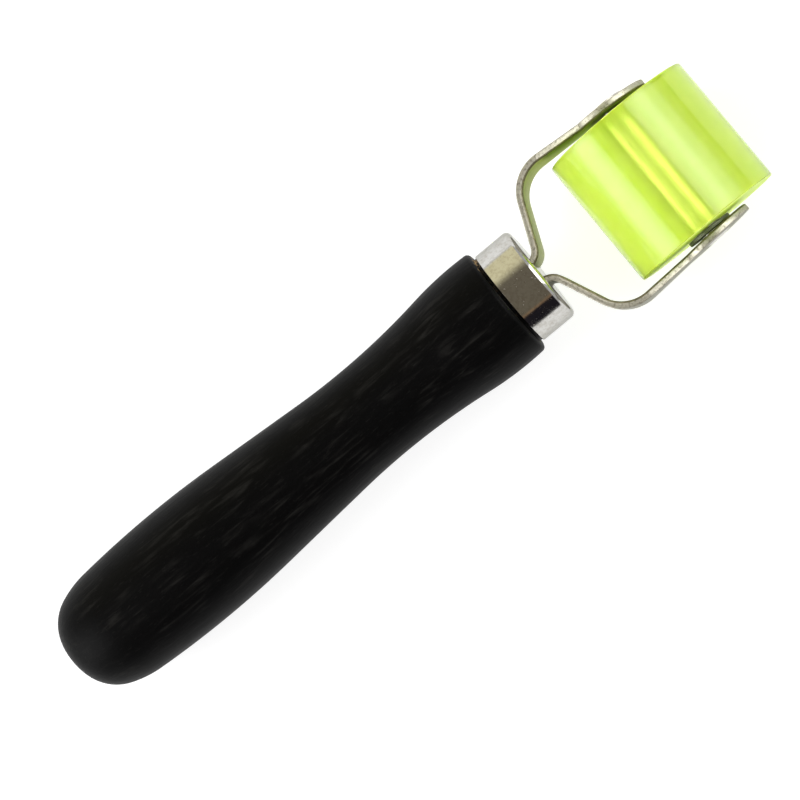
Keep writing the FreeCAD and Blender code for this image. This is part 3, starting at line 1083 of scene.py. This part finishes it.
@dataclass
class Roller:
    """The tyre, its sleeve, the washers and the rivet that it turns on.

    Attributes:
        axle: the axle's station.
        radius, width, edge: the tyre's size and the radius of its tread's rims.
        sleeve_radius, sleeve_length, sleeve_edge, bore: the sleeve's size.
        shank: the rivet's radius.
        head_radius, head_height, head_edge, head_dish: the rivet's flat head.
        peen_radius, peen_height: its peened end.
        dent, dents_per_metre: how deep the peening's marks are, and how close.
        washer_radius, washer_thickness, washer_edge: the washers' size.
        washer_play: their end float.
    """

    axle: float = AXLE_STATION
    radius: float = 18.25 * MM
    width: float = 31.75 * MM
    edge: float = 0.3 * MM
    sleeve_radius: float = 3.175 * MM
    sleeve_length: float = 32.05 * MM
    sleeve_edge: float = 0.1 * MM
    bore: float = 2.43 * MM
    shank: float = 2.38 * MM
    head_radius: float = 4.35 * MM
    head_height: float = 1.0 * MM
    head_edge: float = 0.16 * MM
    head_dish: float = 0.05 * MM
    peen_radius: float = 4.0 * MM
    peen_height: float = 0.65 * MM
    dent: float = 0.1 * MM
    dents_per_metre: float = 600.0
    washer_radius: float = 5.5 * MM
    washer_thickness: float = 0.9 * MM
    washer_edge: float = 0.15 * MM
    washer_play: float = 0.12 * MM

    def centred(self, piece: Piece) -> Piece:
        """Moves a piece that was turned about Y at the origin to the axle."""
        bmesh.ops.translate(piece.mesh, verts=piece.mesh.verts, vec=(self.axle, 0, 0))
        return piece

    def tube(self, piece: Piece, radii: Point, ends: Point, edge: float, steps: int) -> Piece:
        """Turns a tube with rounded outer rims about the axle.

        Args:
            piece: the piece that it is.
            radii: its inside and outside radii.
            ends: where it starts and ends along Y.
            edge: the radius of its outer rims.
            steps: the number of facets round it.

        Returns:
            The piece.
        """
        (inner, outer), (low, high), quarter = radii, ends, math.pi / 2
        section = [
            (low, inner), (low, (inner + outer) / 2),
            *arc((low + edge, outer - edge), edge, math.pi, quarter, 4),
            *arc((high - edge, outer - edge), edge, quarter, 0, 4),
            (high, (inner + outer) / 2), (high, inner),
        ]
        piece.turn(section, "Y", steps, closed=True)
        return self.centred(piece)

    def build(self, elastomer: Sequence[bpy.types.Material],
              steel: dict[str, bpy.types.Material]) -> None:
        """Builds the roller's pieces.

        Args:
            elastomer: the finishes of the tyre's moulded tread and of its trimmed ends.
            steel: the other pieces' finishes, by record slot.
        """
        half, length = self.width / 2, self.sleeve_length / 2
        tyre = self.tube(Piece("lime_tyre", "roller", "lime_elastomer", ("roller_tyre",)),
                         (self.sleeve_radius - TINY, self.radius), (-half, half), self.edge, 192)
        for face in tyre.mesh.faces:
            face.material_index = int(abs(face.normal.y) > 0.9)
        tyre.finish(elastomer)
        sleeve = Piece("moulded_sleeve", "roller", "sleeve_steel", ("roller_sleeve",))
        self.tube(sleeve, (self.bore, self.sleeve_radius), (-length, length), self.sleeve_edge,
                  96).finish([steel["sleeve_steel"]])
        for side in Side:
            name = side.name.lower()
            near = length + self.washer_play
            far = near + self.washer_thickness
            low, high = sorted((near * side.value, far * side.value))
            washer = Piece(f"plain_washer_{name}", f"{name}_washer", "washer_steel",
                           (f"washer_{name}",))
            self.tube(washer, (self.bore, self.washer_radius), (low, high), self.washer_edge,
                      96).finish([steel["washer_steel"]])
        self.build_rivet(steel["rivet_steel"])

    def build_rivet(self, finish: bpy.types.Material) -> None:
        """Turns the rivet with its flat head and its peened end.

        Args:
            finish: its finish.
        """
        rivet = Piece("peened_rivet", "frame", "rivet_steel", ("axle_rivet",))
        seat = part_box("axle_rivet")[1].y - self.head_height
        dome = (self.peen_radius**2 + self.peen_height**2) / (2 * self.peen_height)
        sweep = math.asin(self.peen_radius / dome)
        top = seat + self.head_height
        edge = (top - self.head_edge, self.head_radius - self.head_edge)
        cap = [(-y, r) for y, r in arc((seat + self.peen_height - dome, 0), dome, 0, sweep, 10)]
        outline = [
            *cap,
            (-seat, self.peen_radius), (-seat, self.shank), (seat, self.shank),
            (seat, self.head_radius),
            *arc(edge, self.head_edge, math.pi / 2, 0, 3),
            (top - 0.8 * self.head_dish, 0.55 * self.head_radius), (top - self.head_dish, 0.0),
        ]
        rivet.turn(outline, "Y", steps=96)
        for vert in rivet.mesh.verts:
            if vert.co.y < -seat - TINY:
                vert.co.y -= self.dent * noise.noise(vert.co * self.dents_per_metre)
        self.centred(rivet).finish([finish], sharp=30.0)


# --- studio ---


@dataclass
class Studio:
    """The floor, the lights, the cards that the plate reflects, and the camera.

    Attributes:
        floor_size: the floor's side.
        sky: the even light's strength.
        eye: the camera's place in the tool's frame.
        target: what it looks at.
        up: the direction that stands upright in its view.
        lens: its focal length in millimetres, on a 36 mm sensor.
    """

    floor_size: float = 4.0
    sky: float = 0.6
    eye: Vector = field(default_factory=lambda: Vector((35.0, -42.7, 645.2)) * MM)
    target: Vector = field(default_factory=lambda: Vector((-32.3, -1.75, 0.0)) * MM)
    up: Vector = field(default_factory=lambda: Vector((0.638, 0.770, 0.0)))
    lens: float = 131.3

    def build(self) -> None:
        """Lays the floor and builds the rest of the studio."""
        shape = bmesh.new()
        bmesh.ops.create_grid(shape, x_segments=1, y_segments=1, size=self.floor_size / 2)
        settle("floor", shape, [PaleFloor().material()])
        self.build_sky()
        self.build_cards()
        self.build_lights()
        self.build_camera()
        bpy.context.scene.view_settings.view_transform = "Standard"

    def build_sky(self) -> None:
        """Lights the surroundings evenly."""
        world = bpy.data.worlds.new("sky")
        world.use_nodes = True
        back = world.node_tree.nodes["Background"]
        back.inputs["Color"].default_value = grey(1.0)
        back.inputs["Strength"].default_value = self.sky
        bpy.context.scene.world = world

    def build_cards(self) -> None:
        """Bends two cards over the tool, which only its glossy surfaces show.

        The hoop also shows through the clear tyre, the tunnel doesn't.
        """
        tunnel = BandedGlow("tunnel_glow", (
            Band(-104, 0, rgba(0.86, 0.86, 0.84)),
            Band(-91, 9, rgba(0.017, 0.015, 0.020)),
            Band(-57, 3, rgba(0.30, 0.20, 0.12)),
            Band(-52, 4, rgba(0.185, 0.160, 0.118)),
            Band(38, 26, rgba(0.98, 0.91, 0.60)),
            Band(87, 6, rgba(0.90, 0.895, 0.87)),
        ), 1)
        hoop = BandedGlow("hoop_glow", (
            Band(-98, 0, grey(0.6)), Band(-82, 22, grey(6.0)), Band(-50, 24, grey(1.8)),
            Band(-12, 8, grey(0.8)), Band(6, 8, grey(2.2)),
            Band(20, 14, rgba(4.8, 4.8, 4.7)), Band(33, 10, rgba(7.2, 7.2, 7.0)),
            Band(50, 12, grey(3.4)), Band(68, 14, grey(0.6)), Band(82, 8, grey(0.03)),
        ), 0)
        card = self.bend_card(tunnel, -104, 104, 0.6, (-0.48, 0.25))
        card.visible_transmission = False
        self.bend_card(hoop, -98, 100, 0.95, (-0.35, 0.35))

    def bend_card(self, glow: BandedGlow, start: float, end: float, radius: float,
                  reach: tuple[float, float]) -> bpy.types.Object:
        """Bends a card round the axle, or round a line along X at its height.

        Args:
            glow: its glow, whose bands run along the bend.
            start, end: the angles from straight up, in degrees, of its two ends.
            radius: the bend's radius.
            reach: where it starts and ends along the line that it is bent round.

        Returns:
            The card.
        """
        low, high = reach
        shape = bmesh.new()
        rim = arc((0, 0), radius, math.radians(90 - start), math.radians(90 - end), 48)
        place = {0: lambda a, z: (a, low, z), 1: lambda a, z: (low, a, z)}[glow.across]
        verts = [shape.verts.new(place(a, z)) for a, z in rim]
        edges = [shape.edges.new(pair) for pair in zip(verts, verts[1:])]
        grown = bmesh.ops.extrude_edge_only(shape, edges=edges)
        moved = [v for v in grown["geom"] if isinstance(v, bmesh.types.BMVert)]
        run = (0, high - low, 0) if glow.across == 0 else (high - low, 0, 0)
        bmesh.ops.translate(shape, verts=moved, vec=run)
        card = settle(glow.name.replace("glow", "card"), shape, [glow.material()])
        card.location = axle_centre() if glow.across == 0 else (0, 0, axle_centre().z)
        for ray in ("camera", "diffuse", "shadow", "volume_scatter"):
            setattr(card, f"visible_{ray}", False)
        return card

    def build_lights(self) -> None:
        """Hangs two large soft lights."""
        lights = (
            ("key_light", (-0.75, 0.45, 0.75), 0.8, 8.5),
            ("fill_light", (-0.5, -0.8, 0.9), 1.4, 2.0),
        )
        for name, spot, size, power in lights:
            data = bpy.data.lights.new(name, "AREA")
            data.energy, data.size = power, size
            lamp = bpy.data.objects.new(name, data)
            lamp.location = spot
            lamp.rotation_euler = (-Vector(spot)).to_track_quat("-Z", "Y").to_euler()
            lamp.visible_glossy = False
            bpy.context.scene.collection.objects.link(lamp)

    def build_camera(self) -> None:
        """Hangs the camera over the tool."""
        back = (self.eye - self.target).normalized()
        right = self.up.cross(back).normalized()
        upward = back.cross(right)
        turn = Matrix((right, upward, back)).transposed().to_4x4()
        data = bpy.data.cameras.new("camera")
        data.lens = self.lens
        data.clip_start, data.clip_end = 0.01, 20.0
        camera = bpy.data.objects.new("camera", data)
        camera.matrix_world = REST @ Matrix.Translation(self.eye) @ turn
        bpy.context.scene.collection.objects.link(camera)
        bpy.context.scene.camera = camera


def main() -> None:
    """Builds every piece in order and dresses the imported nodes."""
    logging.basicConfig(level=logging.INFO, format="%(name)s: %(message)s")
    Studio().build()

    Handle().build(PaintedWood().material())
    Ferrule().build(BrightNickel().material())
    strip = [finish.material() for finish in (
        PlatedStrip(),
        PlatedStrip("sheared_edge", rgba(0.50, 0.48, 0.40), rgba(0.17, 0.155, 0.12),
                    gloss=0.42, metal=0.85, pitting=0.08 * MM),
        # Near-black colour on the inner rims is painted shade of the rounded rim, not a colour
        # of the plate.
        PlatedStrip("rolled_rim_painted_shade", rgba(0.20, 0.18, 0.115), rgba(0.09, 0.08, 0.05),
                    gloss=0.5, metal=0.85, pitting=0.05 * MM),
        # The inner face's greenish glance and its lime colour towards the tyre are a painted
        # reflection of the tyre.
        PlatedStrip("inner_face", glance=rgba(0.49, 0.54, 0.28), painted_reflection_share=0.9),
    )]
    for side in Side:
        ForkArm(side).build(strip)
    steel = {finish.name: finish.material() for finish in (
        PlainSteel("sleeve_steel", rgba(0.96, 0.95, 0.88), 0.34, 0.03, 0.55, 0.05 * MM),
        # The washers' dark olive tint is dark steel, darkened and greened further as painted
        # shade of the narrow gap between ear and tyre.
        PlainSteel("washer_steel", rgba(0.22, 0.23, 0.18), 0.58),
        PlainSteel("rivet_steel", rgba(0.64, 0.62, 0.58), 0.30),
    )}
    tyre = [finish.material() for finish in (
        LimeElastomer(),
        # The trimmed ends carry a stronger painted glow, which also greens the arms and washers
        # beside them.
        LimeElastomer("trimmed_elastomer", painted_glow_share=0.2, coarse=0.35, cloud=0.7),
    )]
    Roller().build(tyre, steel)

    pin = frame["nodes"]["tang_pin"]
    pin.data.materials.clear()
    pin.data.materials.append(PlainSteel("plain_steel").material())
    LOG.info("tang_pin keeps its packed shape")


if __name__ == "__main__":
    main()
